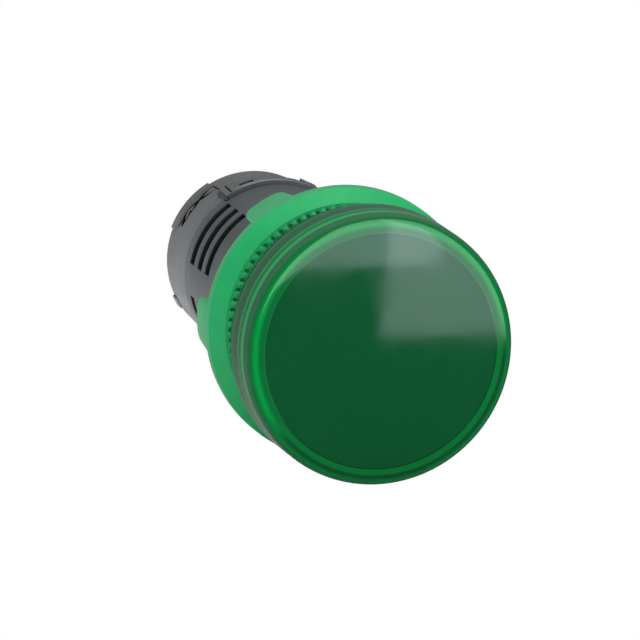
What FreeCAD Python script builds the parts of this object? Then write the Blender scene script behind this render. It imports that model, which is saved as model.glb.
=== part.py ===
import FreeCAD, Part
import math
import os

# Panel pilot light in one piece for a 22 mm hole, in millimetres.
# The origin is the centre of the panel's front plane.
# The lens looks along -Y, the terminals are at +Y and +Z is up.

Vec = FreeCAD.Vector
origin = Vec(0, 0, 0)
axisY = Vec(0, 1, 0)

# Cutting shapes run this far past the faces they open
past = 1.0

# Lens cap
lens_r = 14.5
lens_depth = 6.0
lens_wall = 1.35
disc_r = 12.66
disc_rise = 0.68
dome_rise = 0.45
lens_front_wall = 0.8
bead_r = 13.9
bead_half = 0.4
bead_rise = 0.22
bead_edge_rise = 0.16
groove_r = 13.2
groove_rise = 0.02

# Gasket and panel collar
gasket_thick = 0.8
gasket_inset = 0.2
collar_r = 11.0
collar_length = 1.0
neck_r = 10.55
gasket_gap = 0.05

# Head drum under the cap
cap_gap = 0.1
drum_wall = 0.7
snap_height = 0.25
snap_width = 0.2
snap_slope = 0.1
snap_room = 0.1
snap_from_rim = 3.1
seal_ring_minor = 0.5
seal_ring_gap = 0.03
seal_groove_width = 1.2
seal_y = -2.0

# Light chamber
diffuser_thick = 0.8
flange_thick = 0.9
flange_gap = 0.05
cup_front_r = 9.4
cup_back_r = 8.4
cup_wall = 0.8
chamber_r = 9.6
lamp_board_y = 3.9
lamp_board_thick = 1.2
board_gap = 0.15
lamp_count = 6
lamp_circle_r = 5.4
lamp_long = 3.5
lamp_wide = 2.8
lamp_thick = 1.0
lamp_first = 30.0
lamp_window_r = 1.2
lamp_window_floor_r = 0.9
lamp_window_depth = 0.25

# Barrel
thread_core_r = 10.5
thread_crest_r = 10.85
thread_pitch = 1.5
thread_crest_half = 0.1
thread_root_half = 0.15
thread_first_y = 2.0
thread_count = 9
thread_end_y = 15.5
barrel_r = 9.86
barrel_bore_r = 8.7
thread_chamfer = 0.7
barrel_end_y = 37.1

# Vent slots, three in each of four groups
slot_first_y = 28.2
slot_pitch = 3.17
slot_width = 1.7
slot_count = 3
slot_from_side = 10.5
slot_from_top = 33.5

# Fixing nut, drawn where it clamps a 6 mm panel
nut_front_y = 6.3
nut_bore_gap = 0.06
nut_r = 14.7
nut_flare_r = 13.25
nut_flare_depth = 1.3
nut_rim_length = 1.6
nut_hub_r = 12.4
nut_hub_length = 5.2
nut_lead = 0.35
pocket_count = 72
pocket_inner_r = 12.3
pocket_outer_r = 12.85
pocket_depth = 0.4
pocket_width = 0.45
pocket_first = -1.0
lug_count = 6
lug_angle = 20.5
lug_height = 5.5
lug_inner_r = 13.0
lug_tip_r = 14.2
lug_corner_r = 1.4

# Power board and its parts
board_top_z = -2.6
board_thick = 1.2
board_half_width = 7.6
board_corner = 1.0
board_front_y = 6.4
board_back_y = 33.0
guide_height = 0.6
guide_reach = 1.2
guide_root = 0.3
guide_front_gap = 1.0
guide_back_y = 26.4
pin_side = 0.5
pin_x = 2.0
pin_front_y = 3.5
pin_back_y = 9.0
pin_gap = 0.05
rectifier_x = -3.4
rectifier_y = 12.5
rectifier_side = 4.6
rectifier_height = 2.5
rectifier_lift = 0.2
rectifier_bevel = 0.3
rectifier_leg_inset = 1.0
rectifier_leg_half = 0.35
rectifier_leg_reach = 0.7
rectifier_leg_top = 0.5
varistor_x = 3.4
varistor_y = 12.5
varistor_r = 2.9
varistor_thick = 2.2
varistor_lift = 0.8
capacitor_r = 3.2
capacitor_y = 17.0
capacitor_length = 10.5
can_round = 0.3
can_bead_from_end = 1.75
can_bead_half = 0.45
can_bead_floor_half = 0.15
can_wire_x = 1.25
can_wire_bend = 1.2
resistor_x = 5.7
resistor_y = 18.0
resistor_r = 1.15
resistor_neck_r = 0.9
resistor_length = 6.4
resistor_round = 0.2
resistor_cap_length = 1.4
resistor_cap_slope = 0.4
resistor_lift = 0.1
lead_r = 0.3
foot_r = 0.24
lead_reach = 1.0
lead_grip = 0.3
varistor_wire_x = 1.5
varistor_wire_grip = 1.2
varistor_round = 0.5

# Terminal block
block_back_y = 46.5
block_back_r = 9.47
arch_r = 10.3
arch_back_r = 9.3
arch_front_y = 36.15
arch_back_y = 45.8
arch_half = 31.3
arch_flank = 1.0
arch_foot_depth = 0.3
notch_gap = 0.05
notch_gap_angle = 0.4
catch_r = 10.47
catch_back_y = 39.3
catch_from_top = 21.0
catch_to_top = 30.6
catch_foot_from_top = 35.0
catch_sunk = 0.5
catch_slit_front_y = 36.45
catch_slit_from_top = 27.0
catch_slit = 0.35
catch_slit_depth = 0.6
seam_y = 37.2
seam_width = 0.5
seam_depth = 0.5
seam_from_top = 10.7
seam_to_top = 20.2
side_slit_from_top = 29.3
side_slit_front_y = 41.3
side_slit_width = 0.25
side_slit_depth = 0.5
lip_proud = 0.28
lip_front_y = 44.75
lip_back_y = 46.3
lip_root = 1.0
floor_y = 39.8
floor_thick = 1.8
shell_wall = 1.3
well_inner_x = 1.0
well_outer_x = 7.4
well_top_z = 4.0
tongue_length = 2.8
tongue_thick = 1.0
tongue_gap = 0.05
tongue_half = 27.0
tongue_root = 0.5
upper_lip_start = 30.5
upper_lip_end = 68.0
lower_lip_start = 114.0
lower_lip_end = 122.0
rib_half = 0.6

# Terminals
terminal_x = 4.25
strip_thick = 1.0
strip_inner_x = 1.5
strip_outer_x = 7.0
strip_low_z = -2.8
strip_high_z = 2.8
tail_width = 1.4
tail_thick = 0.8
tail_front_y = 30.4
tail_gap = 0.1
tap_gap = 0.05
washer_side = 5.2
washer_corner_r = 0.6
washer_thick = 0.8
washer_lift = 0.3
washer_hole_gap = 0.3
screw_r = 1.45
screw_tip_y = 37.5
screw_tip_chamfer = 0.3
screw_hole_gap = 0.3
screw_boss_r = 2.9
head_r = 2.6
head_thick = 1.8
head_round = 0.3
recess_arm = 1.55
recess_width = 0.75
recess_depth = 1.1

# Planes that follow from the sizes above
seat_y = -gasket_thick
rim_y = seat_y - lens_depth
diffuser_front_y = rim_y + lens_front_wall
flange_front_y = diffuser_front_y + diffuser_thick
flange_back_y = flange_front_y + flange_thick
lens_inner_r = lens_r - lens_wall
drum_r = lens_inner_r - cap_gap
nut_bore_r = thread_crest_r + nut_bore_gap
flange_r = drum_r - drum_wall - flange_gap
gasket_r = lens_r - gasket_inset
lamp_board_back_y = lamp_board_y + lamp_board_thick
nut_rim_y = nut_front_y + nut_flare_depth
nut_back_y = nut_rim_y + nut_rim_length
washer_y = floor_y + strip_thick + washer_lift
head_y = washer_y + washer_thick


def ring_of(points):
    # a closed outline of (radius, y) points turned round the Y axis
    corners = [Vec(r, y, 0) for r, y in points]
    face = Part.Face(Part.makePolygon(corners + [corners[0]]))
    return face.revolve(origin, axisY, 360)


def drum(radius, y0, y1, x=0.0, z=0.0):
    return Part.makeCylinder(radius, y1 - y0, Vec(x, y0, z), axisY)


def block(x0, x1, y0, y1, z0, z1):
    return Part.makeBox(x1 - x0, y1 - y0, z1 - z0, Vec(x0, y0, z0))


def turned(shape, degrees):
    # 0 degrees is +X and 90 degrees is the top
    copy = shape.copy()
    copy.rotate(origin, Vec(0, -1, 0), degrees)
    return copy


def sector(r0, r1, y0, y1, start, end):
    corners = [Vec(r0, y0, 0), Vec(r1, y0, 0), Vec(r1, y1, 0), Vec(r0, y1, 0)]
    face = Part.Face(Part.makePolygon(corners + [corners[0]]))
    return turned(face.revolve(origin, Vec(0, -1, 0), end - start), start)


def both_sides(shape):
    return [shape, shape.mirror(origin, Vec(1, 0, 0))]


def joined(shapes):
    first = shapes[0].fuse(shapes[1:])
    return first.removeSplitter()


def lens_cap():
    disc_y = rim_y - disc_rise
    groove_y = rim_y - groove_rise
    edge_y = rim_y - bead_edge_rise
    top = Vec(0, disc_y - dome_rise, 0)
    dome_radius = (disc_r ** 2 + dome_rise ** 2) / (2 * dome_rise)
    mid_r = disc_r / 2
    mid_y = top.y + dome_radius - math.sqrt(dome_radius ** 2 - mid_r ** 2)
    dome = Part.Arc(top, Vec(mid_r, mid_y, 0), Vec(disc_r, disc_y, 0)).toShape()
    bead_start = Vec(bead_r - bead_half, edge_y, 0)
    bead_end = Vec(bead_r + bead_half, edge_y, 0)
    bead = Part.Arc(bead_start, Vec(bead_r, rim_y - bead_rise, 0), bead_end).toShape()
    catch_y = rim_y + snap_from_rim
    catch_r = lens_inner_r + snap_height + snap_room
    catch_half = snap_width / 2 + snap_slope
    skirt = [
        (lens_r, rim_y),
        (lens_r, seat_y),
        (lens_inner_r, seat_y),
        (lens_inner_r, catch_y + catch_half + snap_slope),
        (catch_r, catch_y + catch_half),
        (catch_r, catch_y - catch_half),
        (lens_inner_r, catch_y - catch_half - snap_slope),
        (lens_inner_r, diffuser_front_y),
        (0, diffuser_front_y),
    ]
    back = [bead_end] + [Vec(r, y, 0) for r, y in skirt] + [top]
    front = [Vec(disc_r, disc_y, 0), Vec(groove_r, groove_y, 0), bead_start]
    edges = [dome] + Part.makePolygon(front).Edges + [bead] + Part.makePolygon(back).Edges
    return Part.Face(Part.Wire(edges)).revolve(origin, axisY, 360)


def lens_seal_ring():
    centre_r = lens_inner_r - seal_ring_gap - seal_ring_minor
    return Part.makeTorus(centre_r, seal_ring_minor, Vec(0, seal_y, 0), axisY)


def light_diffuser():
    return drum(flange_r, diffuser_front_y, flange_front_y)


def reflector_cup():
    return ring_of([
        (cup_front_r - cup_wall, flange_front_y),
        (flange_r, flange_front_y),
        (flange_r, flange_back_y),
        (cup_front_r, flange_back_y),
        (cup_back_r, lamp_board_y),
        (cup_back_r - cup_wall, lamp_board_y),
    ])


def head_barrel():
    ridge_y = rim_y + snap_from_rim
    ridge_half = snap_width / 2
    groove_floor_r = lens_inner_r - 2 * seal_ring_minor - 2 * seal_ring_gap
    groove_front_y = seal_y - seal_groove_width / 2
    groove_back_y = seal_y + seal_groove_width / 2
    body = ring_of([
        (flange_r + flange_gap, flange_front_y),
        (drum_r, flange_front_y),
        (drum_r, ridge_y - ridge_half - snap_slope),
        (drum_r + snap_height, ridge_y - ridge_half),
        (drum_r + snap_height, ridge_y + ridge_half),
        (drum_r, ridge_y + ridge_half + snap_slope),
        (drum_r, groove_front_y),
        (groove_floor_r, groove_front_y),
        (groove_floor_r, groove_back_y),
        (drum_r, groove_back_y),
        (drum_r, seat_y),
        (neck_r, seat_y),
        (neck_r, 0),
        (collar_r, 0),
        (collar_r, collar_length),
        (thread_core_r, collar_length),
    ] + thread_ridges() + [
        (thread_core_r, thread_end_y),
        (barrel_r, thread_end_y + thread_chamfer),
        (barrel_r, barrel_end_y),
        (barrel_bore_r, barrel_end_y),
        (barrel_bore_r, lamp_board_back_y),
        (chamber_r, lamp_board_back_y),
        (chamber_r, flange_back_y),
        (flange_r + flange_gap, flange_back_y),
    ])
    cuts = []
    for index in range(slot_count):
        y0 = slot_first_y + index * slot_pitch - slot_width / 2
        start = slot_from_side
        end = 90 - slot_from_top
        slot = sector(barrel_bore_r - past, barrel_r + past, y0, y0 + slot_width, start, end)
        for quarter in (slot, slot.mirror(origin, Vec(0, 0, 1))):
            cuts = cuts + both_sides(quarter)
    notch_half = arch_half + arch_flank + notch_gap_angle
    notch_y = arch_front_y - notch_gap
    start = 90 - notch_half
    end = 90 + notch_half
    cuts.append(sector(barrel_bore_r - past, barrel_r + past, notch_y, barrel_end_y + past, start, end))
    body = body.cut(cuts)
    return joined([body] + card_guides())


def thread_ridges():
    # the thread drawn as rings that touch at their roots
    corners = []
    for index in range(thread_count):
        y = thread_first_y + index * thread_pitch
        corners.append((thread_core_r, y - thread_pitch / 2 + thread_root_half))
        corners.append((thread_crest_r, y - thread_crest_half))
        corners.append((thread_crest_r, y + thread_crest_half))
        corners.append((thread_core_r, y + thread_pitch / 2 - thread_root_half))
    return corners


def card_guides():
    # two pairs of ribs that hold the long edges of the power board
    guides = []
    front_y = lamp_board_back_y + guide_front_gap
    inside = drum(barrel_bore_r + guide_root, front_y, guide_back_y)
    upper_z = board_top_z + board_gap
    lower_z = board_top_z - board_thick - board_gap
    for low, high in ((upper_z, upper_z + guide_height), (lower_z - guide_height, lower_z)):
        x0 = board_half_width - guide_reach / 2
        rib = block(x0, barrel_r, front_y, guide_back_y, low, high)
        guides = guides + both_sides(rib.common(inside))
    return guides


def panel_gasket():
    return drum(gasket_r, seat_y, 0).cut(drum(collar_r + gasket_gap, seat_y - past, past))


def fixing_nut():
    body = ring_of([
        (nut_bore_r + nut_lead, nut_front_y),
        (nut_flare_r, nut_front_y),
        (nut_r, nut_rim_y),
        (nut_r, nut_back_y),
        (nut_hub_r, nut_back_y),
        (nut_hub_r, nut_front_y + nut_hub_length),
        (nut_bore_r + nut_lead, nut_front_y + nut_hub_length),
        (nut_bore_r, nut_front_y + nut_hub_length - nut_lead),
        (nut_bore_r, nut_front_y + nut_lead),
    ])
    pocket_back_y = nut_front_y + pocket_depth
    half = pocket_width / 2
    front_y = nut_front_y - past
    pocket = block(pocket_inner_r, pocket_outer_r, front_y, pocket_back_y, -half, half)
    pitch = 360 / pocket_count
    pockets = [turned(pocket, pocket_first + index * pitch) for index in range(pocket_count)]
    body = body.cut(pockets)
    return joined([body] + nut_lugs())


def nut_lugs():
    # rounded tabs cut from one conical ring
    tip_y = nut_back_y + lug_height
    root_y = nut_back_y - nut_rim_length / 2
    cone = ring_of([
        (lug_inner_r, root_y),
        (nut_r, root_y),
        (nut_r, nut_back_y),
        (lug_tip_r, tip_y),
        (lug_inner_r, tip_y),
    ])
    half = nut_r * math.sin(math.radians(lug_angle / 2))
    tab = Part.makeBox(nut_r, tip_y - root_y, 2 * half, Vec(past, root_y, -half))
    tips = [e for e in tab.Edges if is_tip_edge(e, tip_y)]
    tab = tab.makeFillet(lug_corner_r, tips)
    lugs = []
    for index in range(lug_count):
        lugs.append(cone.common(turned(tab, index * 360 / lug_count)))
    return lugs


def is_tip_edge(edge, tip_y):
    middle = edge.BoundBox.Center
    along_x = edge.BoundBox.XLength > lug_corner_r
    return along_x and abs(middle.y - tip_y) < 0.01


def led_board():
    plate = drum(chamber_r - board_gap, lamp_board_y, lamp_board_back_y)
    holes = []
    for side in (-1, 1):
        reach = pin_side / 2 + pin_gap
        x = side * pin_x
        z = board_top_z + pin_side / 2
        y0 = lamp_board_y - past
        y1 = lamp_board_back_y + past
        holes.append(block(x - reach, x + reach, y0, y1, z - reach, z + reach))
    return plate.cut(holes)


def lamp(index):
    half_long = lamp_long / 2
    half_wide = lamp_wide / 2
    y0 = lamp_board_y - lamp_thick
    x0 = lamp_circle_r - half_wide
    body = block(x0, lamp_circle_r + half_wide, y0, lamp_board_y, -half_long, half_long)
    centre = Vec(lamp_circle_r, y0, 0)
    window = Part.makeCone(lamp_window_r, lamp_window_floor_r, lamp_window_depth, centre, axisY)
    return turned(body.cut(window), lamp_first + index * 360 / lamp_count)


def link_pin(side):
    x = side * pin_x
    half = pin_side / 2
    return block(x - half, x + half, pin_front_y, pin_back_y, board_top_z, board_top_z + pin_side)


def power_board():
    low = board_top_z - board_thick
    half = board_half_width
    plate = block(-half, half, board_front_y, board_back_y, low, board_top_z)
    corners = [e for e in plate.Edges if e.BoundBox.ZLength > board_thick / 2]
    return plate.makeChamfer(board_corner, corners)


def bridge_rectifier():
    half = rectifier_side / 2
    y0 = rectifier_y - half
    y1 = rectifier_y + half
    x0 = rectifier_x - half
    x1 = rectifier_x + half
    low = board_top_z + rectifier_lift
    body = block(x0, x1, y0, y1, low, board_top_z + rectifier_height)
    upper = [e for e in body.Edges if is_top_edge(e, body)]
    parts = [body.makeChamfer(rectifier_bevel, upper)]
    leg = rectifier_leg_half
    reach = rectifier_leg_reach
    high = board_top_z + rectifier_leg_top
    for y in (y0 + rectifier_leg_inset, y1 - rectifier_leg_inset):
        for x in (x0, x1):
            parts.append(block(x - reach, x + reach, y - leg, y + leg, board_top_z, high))
    return joined(parts)


def is_top_edge(edge, body):
    return edge.BoundBox.ZMin > body.BoundBox.ZMax - 0.01


def surge_varistor():
    # a coated disc standing on two wires
    z = board_top_z + varistor_lift + varistor_r
    y0 = varistor_y - varistor_thick / 2
    disc = drum(varistor_r, y0, y0 + varistor_thick, varistor_x, z)
    rims = [e for e in disc.Edges if e.BoundBox.YLength < varistor_thick / 2]
    parts = [disc.makeFillet(varistor_round, rims)]
    for side in (-1, 1):
        foot = Vec(varistor_x + side * varistor_wire_x, varistor_y, board_top_z)
        parts.append(Part.makeCylinder(lead_r, varistor_lift + varistor_wire_grip, foot))
    return joined(parts)


def smoothing_capacitor():
    # a can lying on the board with its bead and two wires
    z = board_top_z + capacitor_r
    y1 = capacitor_y + capacitor_length
    bead_y = y1 - can_bead_from_end
    waist = capacitor_r - can_round
    can = ring_of([
        (0, capacitor_y),
        (waist, capacitor_y),
        (capacitor_r, capacitor_y + can_round),
        (capacitor_r, bead_y - can_bead_half),
        (waist, bead_y - can_bead_floor_half),
        (waist, bead_y + can_bead_floor_half),
        (capacitor_r, bead_y + can_bead_half),
        (capacitor_r, y1 - can_round),
        (waist, y1),
        (0, y1),
    ])
    can.translate(Vec(0, 0, z))
    parts = [can]
    for side in (-1, 1):
        x = side * can_wire_x
        parts = parts + bent_lead(x, z, y1 - lead_grip, y1 + can_wire_bend)
    return joined(parts)


def bent_lead(x, z, start_y, foot_y):
    # a wire along Y that turns down to the board at its far end
    direction = 1 if foot_y > start_y else -1
    end_y = foot_y + direction * lead_r
    wire = drum(lead_r, min(start_y, end_y), max(start_y, end_y), x, z)
    foot = Part.makeCylinder(foot_r, z - board_top_z, Vec(x, foot_y, board_top_z))
    return [wire, foot]


def dropping_resistor(side):
    x = side * resistor_x
    z = board_top_z + resistor_r + resistor_lift
    y1 = resistor_y + resistor_length
    rounded_r = resistor_r - resistor_round
    slope_end = resistor_cap_length + resistor_cap_slope
    body = ring_of([
        (0, resistor_y),
        (rounded_r, resistor_y),
        (resistor_r, resistor_y + resistor_round),
        (resistor_r, resistor_y + resistor_cap_length),
        (resistor_neck_r, resistor_y + slope_end),
        (resistor_neck_r, y1 - slope_end),
        (resistor_r, y1 - resistor_cap_length),
        (resistor_r, y1 - resistor_round),
        (rounded_r, y1),
        (0, y1),
    ])
    body.translate(Vec(x, 0, z))
    front = bent_lead(x, z, resistor_y + lead_grip, resistor_y - lead_reach)
    back = bent_lead(x, z, y1 - lead_grip, y1 + lead_reach)
    return joined([body] + front + back)


def terminal_strip(side):
    low = strip_low_z
    high = strip_high_z
    back_y = floor_y + strip_thick
    plate = block(strip_inner_x, strip_outer_x, floor_y, back_y, low, high)
    tail_x0 = strip_outer_x - tail_width
    tail_top = board_top_z + tail_thick
    tail = block(tail_x0, strip_outer_x, tail_front_y, back_y, board_top_z, tail_top)
    strip = joined([plate, tail])
    strip = strip.cut(drum(screw_r + tap_gap, floor_y - past, back_y + past, terminal_x, 0))
    return placed(strip, side)


def clamp_washer(side):
    half = washer_side / 2
    back_y = washer_y + washer_thick
    plate = block(terminal_x - half, terminal_x + half, washer_y, back_y, -half, half)
    corners = [e for e in plate.Edges if e.BoundBox.YLength > washer_thick / 2]
    plate = plate.makeFillet(washer_corner_r, corners)
    hole_r = screw_r + washer_hole_gap
    plate = plate.cut(drum(hole_r, washer_y - past, back_y + past, terminal_x, 0))
    return placed(plate, side)


def terminal_screw(side):
    top_y = head_y + head_thick
    tip_y = screw_tip_y
    body = ring_of([
        (0, tip_y),
        (screw_r - screw_tip_chamfer, tip_y),
        (screw_r, tip_y + screw_tip_chamfer),
        (screw_r, head_y),
        (head_r, head_y),
        (head_r, top_y - head_round),
        (head_r - head_round, top_y),
        (0, top_y),
    ])
    half = recess_width / 2
    arm = recess_arm
    floor = top_y - recess_depth
    cross = block(-arm, arm, floor, top_y + past, -half, half)
    cross = cross.fuse(block(-half, half, floor, top_y + past, -arm, arm))
    body = body.cut(cross)
    body.translate(Vec(terminal_x, 0, 0))
    return placed(body, side)


def placed(shape, side):
    # the X1 terminal is at +X and X2 is its mirror image
    return shape if side > 0 else shape.mirror(origin, Vec(1, 0, 0))


def raised_arch():
    # the top sector stands proud at the front and runs out towards the rear
    half = math.radians(arch_half)
    foot_half = math.radians(arch_half + arch_flank)
    foot_r = barrel_r - arch_foot_depth
    first = Vec(arch_r * math.sin(half), arch_front_y, arch_r * math.cos(half))
    foot = Vec(foot_r * math.sin(foot_half), arch_front_y, foot_r * math.cos(foot_half))
    last = Vec(-first.x, arch_front_y, first.z)
    far_foot = Vec(-foot.x, arch_front_y, foot.z)
    crown = Part.Arc(first, Vec(0, arch_front_y, arch_r), last).toShape()
    rest = Part.makePolygon([last, far_foot, foot, first])
    outline = Part.Wire([crown] + rest.Edges)
    prism = Part.Face(outline).extrude(Vec(0, arch_back_y - arch_front_y, 0))
    cone = ring_of([
        (0, arch_front_y),
        (arch_r, arch_front_y),
        (arch_back_r, arch_back_y),
        (0, arch_back_y),
    ])
    return prism.common(cone)


def terminal_block():
    shell = ring_of([
        (0, barrel_end_y),
        (barrel_r, barrel_end_y),
        (block_back_r, block_back_y),
        (0, block_back_y),
    ])
    parts = [shell, raised_arch()]
    parts = parts + both_sides(snap_catch())
    lip_r = block_back_r + lip_proud
    root_r = block_back_r - lip_root
    lips = ((upper_lip_start, upper_lip_end), (lower_lip_start, lower_lip_end))
    for first, second in lips:
        lip = sector(root_r, lip_r, lip_front_y, lip_back_y, 90 + first, 90 + second)
        parts = parts + both_sides(lip)
    body = joined(parts)
    cuts = []
    half = catch_slit / 2
    slit_r = catch_r - catch_slit_depth
    slit = block(slit_r, catch_r + past, catch_slit_front_y, catch_back_y + past, -half, half)
    cuts = cuts + both_sides(turned(slit, 90 + catch_slit_from_top))
    seam_r = arch_r - seam_depth
    start = 90 + seam_from_top
    end = 90 + seam_to_top
    seam = sector(seam_r, arch_r + past, seam_y, seam_y + seam_width, start, end)
    cuts = cuts + both_sides(seam)
    half = side_slit_width / 2
    low = block_back_r - side_slit_depth
    slit = block(low, barrel_r + past, side_slit_front_y, lip_front_y, -half, half)
    cuts = cuts + both_sides(turned(slit, 90 + side_slit_from_top))
    cuts = cuts + both_sides(wire_well())
    cuts.append(front_hollow())
    x0 = strip_outer_x - tail_width - tail_gap
    x1 = strip_outer_x + tail_gap
    low = board_top_z - tail_gap
    high = board_top_z + tail_thick + tail_gap
    slot = block(x0, x1, barrel_end_y - past, floor_y + past, low, high)
    cuts = cuts + both_sides(slot)
    hole_r = screw_r + screw_hole_gap
    hole = drum(hole_r, barrel_end_y - past, floor_y + past, terminal_x, 0)
    cuts = cuts + both_sides(hole)
    body = body.cut(cuts)
    return joined([body] + snap_tongues())


def snap_catch():
    # a ramp that rises to the rear, with a slanted side that widens to the rear
    shell_slope = (barrel_r - block_back_r) / (block_back_y - barrel_end_y)
    back_foot_r = barrel_r - shell_slope * (catch_back_y - barrel_end_y)
    front = catch_outline(arch_front_y, arch_r, arch_half, barrel_r, arch_half + arch_flank)
    back = catch_outline(catch_back_y, catch_r, catch_to_top, back_foot_r, catch_foot_from_top)
    return Part.makeLoft([front, back], True, True)


def catch_outline(y, top_r, top_angle, foot_r, foot_angle):
    sunk_r = foot_r - catch_sunk
    places = [
        (sunk_r, catch_from_top),
        (top_r, catch_from_top),
        (top_r, top_angle),
        (foot_r, foot_angle),
        (sunk_r, foot_angle),
    ]
    corners = []
    for radius, angle in places:
        turn = math.radians(90 + angle)
        corners.append(Vec(radius * math.cos(turn), y, radius * math.sin(turn)))
    return Part.makePolygon(corners + [corners[0]])


def wire_well():
    # open to the rear for the driver and downwards for the wire
    low_z = -barrel_r - past
    back_y = block_back_y + past
    return block(well_inner_x, well_outer_x, floor_y, back_y, low_z, well_top_z)


def front_hollow():
    hollow_r = barrel_r - shell_wall
    hollow = drum(hollow_r, barrel_end_y, floor_y - floor_thick)
    keep = [block(-rib_half, rib_half, barrel_end_y, floor_y, -hollow_r, hollow_r)]
    for side in (-1, 1):
        keep.append(drum(screw_boss_r, barrel_end_y, floor_y, side * terminal_x, 0))
    return hollow.cut(keep)


def snap_tongues():
    # two curved tongues that enter the barrel between the vent slots
    outer = barrel_bore_r - tongue_gap
    inner = outer - tongue_thick
    front_y = barrel_end_y - tongue_length
    tongues = []
    for middle in (90, 270):
        start = middle - tongue_half
        end = middle + tongue_half
        tongues.append(sector(inner, outer, front_y, barrel_end_y + tongue_root, start, end))
    return tongues


def save(name, shape):
    solids = shape.Solids
    result = solids[0] if len(solids) == 1 else Part.makeCompound(solids)
    result.exportStep("parts/" + name + ".step")
    print(name, len(solids), round(shape.Volume, 2), shape.isValid())


os.makedirs("parts", exist_ok=True)
save("lens_cap", lens_cap())
save("lens_seal_ring", lens_seal_ring())
save("light_diffuser", light_diffuser())
save("reflector_cup", reflector_cup())
save("head_barrel", head_barrel())
save("panel_gasket", panel_gasket())
save("fixing_nut", fixing_nut())
save("led_board", led_board())
for number in range(lamp_count):
    save("led_%d" % (number + 1), lamp(number))
save("link_pin_1", link_pin(1))
save("link_pin_2", link_pin(-1))
save("power_board", power_board())
save("bridge_rectifier", bridge_rectifier())
save("surge_varistor", surge_varistor())
save("smoothing_capacitor", smoothing_capacitor())
save("dropping_resistor_1", dropping_resistor(1))
save("dropping_resistor_2", dropping_resistor(-1))
save("terminal_block", terminal_block())
for ending, hand in (("x1", 1), ("x2", -1)):
    save("terminal_strip_" + ending, terminal_strip(hand))
    save("clamp_washer_" + ending, clamp_washer(hand))
    save("terminal_screw_" + ending, terminal_screw(hand))
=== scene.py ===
import math
import bpy
from mathutils import Matrix, Vector


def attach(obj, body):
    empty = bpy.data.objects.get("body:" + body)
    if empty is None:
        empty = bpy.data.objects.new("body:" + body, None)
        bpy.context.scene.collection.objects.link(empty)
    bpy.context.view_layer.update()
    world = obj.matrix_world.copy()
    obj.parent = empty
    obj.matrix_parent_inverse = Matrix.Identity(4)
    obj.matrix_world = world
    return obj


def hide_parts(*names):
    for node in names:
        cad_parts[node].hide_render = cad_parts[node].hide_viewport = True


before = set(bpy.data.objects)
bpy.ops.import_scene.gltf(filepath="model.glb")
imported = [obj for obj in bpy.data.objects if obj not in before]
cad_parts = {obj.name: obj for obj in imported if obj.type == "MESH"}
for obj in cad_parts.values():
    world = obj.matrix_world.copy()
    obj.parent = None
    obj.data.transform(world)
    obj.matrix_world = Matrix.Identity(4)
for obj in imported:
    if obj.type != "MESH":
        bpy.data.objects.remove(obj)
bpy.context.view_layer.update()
mm = 0.001
centreLine = (0, 0, 0)
weld = 0.002 * mm  # corners closer than this are merged
near = 0.01  # millimetres within which two places count as one
nearAngle = 0.1  # the same in degrees
print("frame loaded")


# Modelling helpers. Sizes come in millimetres, and meshes and steps are in metres.

def deselectAll():
    if bpy.context.object and bpy.context.object.mode != "OBJECT":
        bpy.ops.object.mode_set(mode="OBJECT")
    bpy.ops.object.select_all(action="DESELECT")


def pick(piece):
    deselectAll()
    piece.select_set(True)
    bpy.context.view_layer.objects.active = piece


def editMesh(piece, kind="VERT"):
    pick(piece)
    bpy.ops.object.mode_set(mode="EDIT")
    bpy.ops.mesh.select_mode(type=kind)


def editAll(piece):
    editMesh(piece)
    bpy.ops.mesh.select_all(action="SELECT")


def leaveEdit():
    bpy.ops.object.mode_set(mode="OBJECT")


def selectWhere(piece, kind, test):
    # test gets a corner, both ends of an edge, or a face's centre and normal
    editMesh(piece, kind)
    bpy.ops.mesh.select_all(action="DESELECT")
    leaveEdit()
    mesh = piece.data
    if kind == "FACE":
        for face in mesh.polygons:
            face.select = bool(test(face.center / mm, face.normal))
    elif kind == "EDGE":
        for edge in mesh.edges:
            a, b = (mesh.vertices[v].co for v in edge.vertices)
            edge.select = bool(test(a / mm, b / mm))
    else:
        for vert in mesh.vertices:
            vert.select = bool(test(vert.co / mm))
    bpy.ops.object.mode_set(mode="EDIT")


def moveBy(step):
    bpy.ops.transform.translate(value=step)


def extrudeBy(step):
    bpy.ops.mesh.extrude_region_move(TRANSFORM_OT_translate={"value": step})


def turnBy(degrees, axis):
    bpy.ops.transform.rotate(value=math.radians(degrees), orient_axis=axis, center_override=centreLine)


def spreadBy(ratio):
    # moves what is selected out from the Y axis, or in
    bpy.ops.transform.resize(value=(ratio, 1, ratio), center_override=centreLine)


def faceOutwards(piece):
    editAll(piece)
    bpy.ops.mesh.normals_make_consistent(inside=False)
    leaveEdit()


def radiusOf(p):
    return math.hypot(p.x, p.z)


def angleOf(p):
    # 0 is +X and 90 is the top
    return math.degrees(math.atan2(p.z, p.x)) % 360


def offTop(p):
    # degrees away from the top, the same on both sides
    return abs((angleOf(p) - 90 + 180) % 360 - 180)


def isAt(p, y):
    return abs(p.y - y) < near


def drawPath(name, start, steps):
    # one corner of a plane, drawn out step by step
    deselectAll()
    bpy.ops.mesh.primitive_plane_add(size=mm, location=centreLine)
    piece = bpy.context.object
    piece.name = name
    piece.data.name = name
    editAll(piece)
    bpy.ops.mesh.merge(type="CENTER")
    moveBy(start)
    for step in steps:
        extrudeBy(step)
    leaveEdit()
    return piece


def drawProfile(name, points):
    # an outline of (radius, y) points, to be turned about the Y axis
    steps = [((b[0] - a[0]) * mm, (b[1] - a[1]) * mm, 0) for a, b in zip(points, points[1:])]
    return drawPath(name, (points[0][0] * mm, points[0][1] * mm, 0), steps)


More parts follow.
